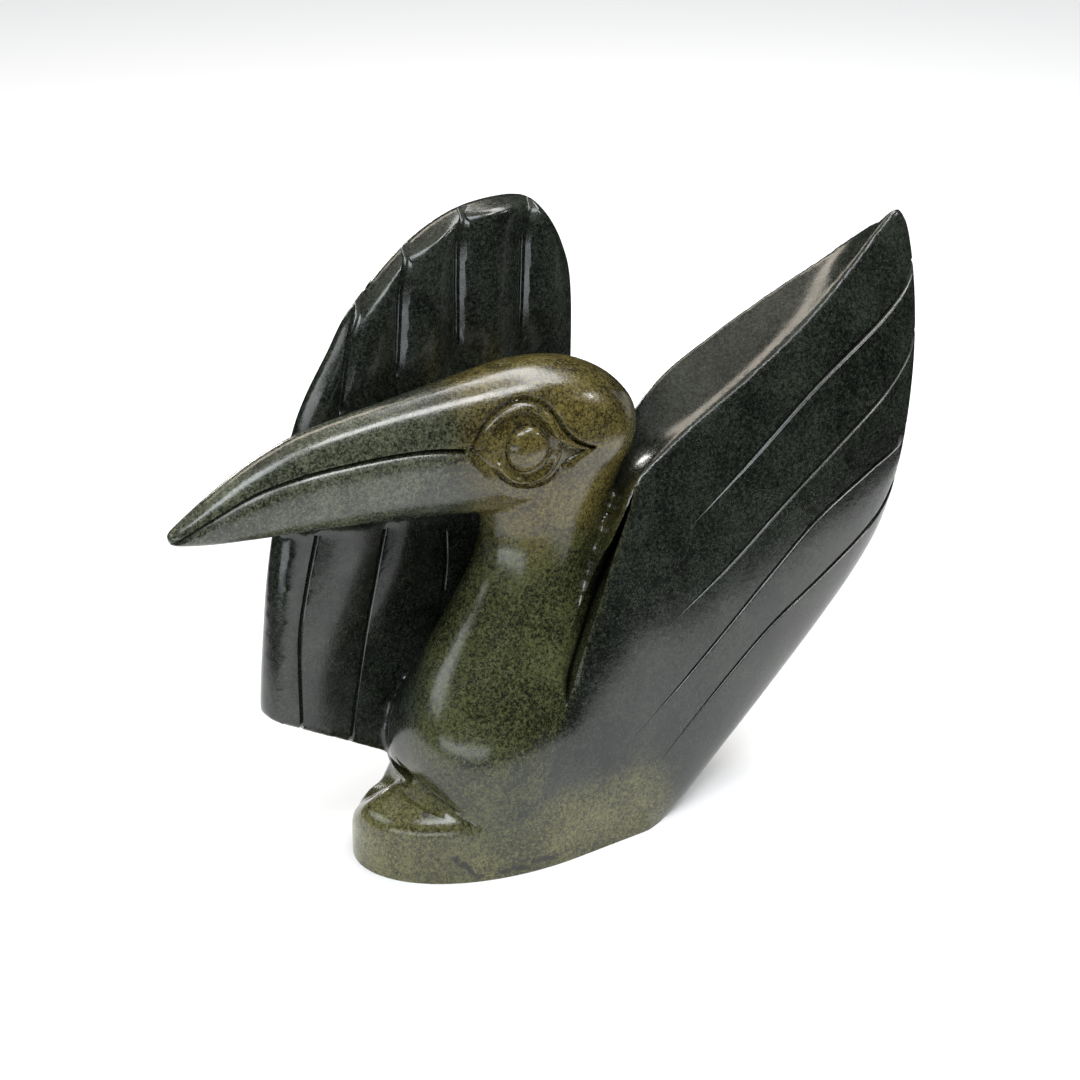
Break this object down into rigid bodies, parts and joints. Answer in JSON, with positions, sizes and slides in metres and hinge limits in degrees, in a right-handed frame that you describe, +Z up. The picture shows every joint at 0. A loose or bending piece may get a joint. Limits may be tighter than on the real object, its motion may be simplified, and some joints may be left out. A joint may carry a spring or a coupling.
{
  "type": "stone bird sculpture",
  "caption": "Carved polished stone bird with a long beak, one wing swept back and one held forward beside the neck, on its own base; a table ornament.",
  "frame": {"origin": "middle of the flat underside's length and width, on the surface the bird stands on", "axes": "+Z up; the beak points along -X; the left wing, swept back, is on the -Y side and the right wing, held forward, is on the +Y side"},
  "size_m": [0.3548, 0.1014, 0.2632],
  "materials": {
    "serpentine": "polished and waxed, dark olive green stone with fine mottling, paler olive breast and golden brown head"
  },
  "bodies": {
    "root": {"stone_bird": "serpentine"}
  },
  "joints": []
}
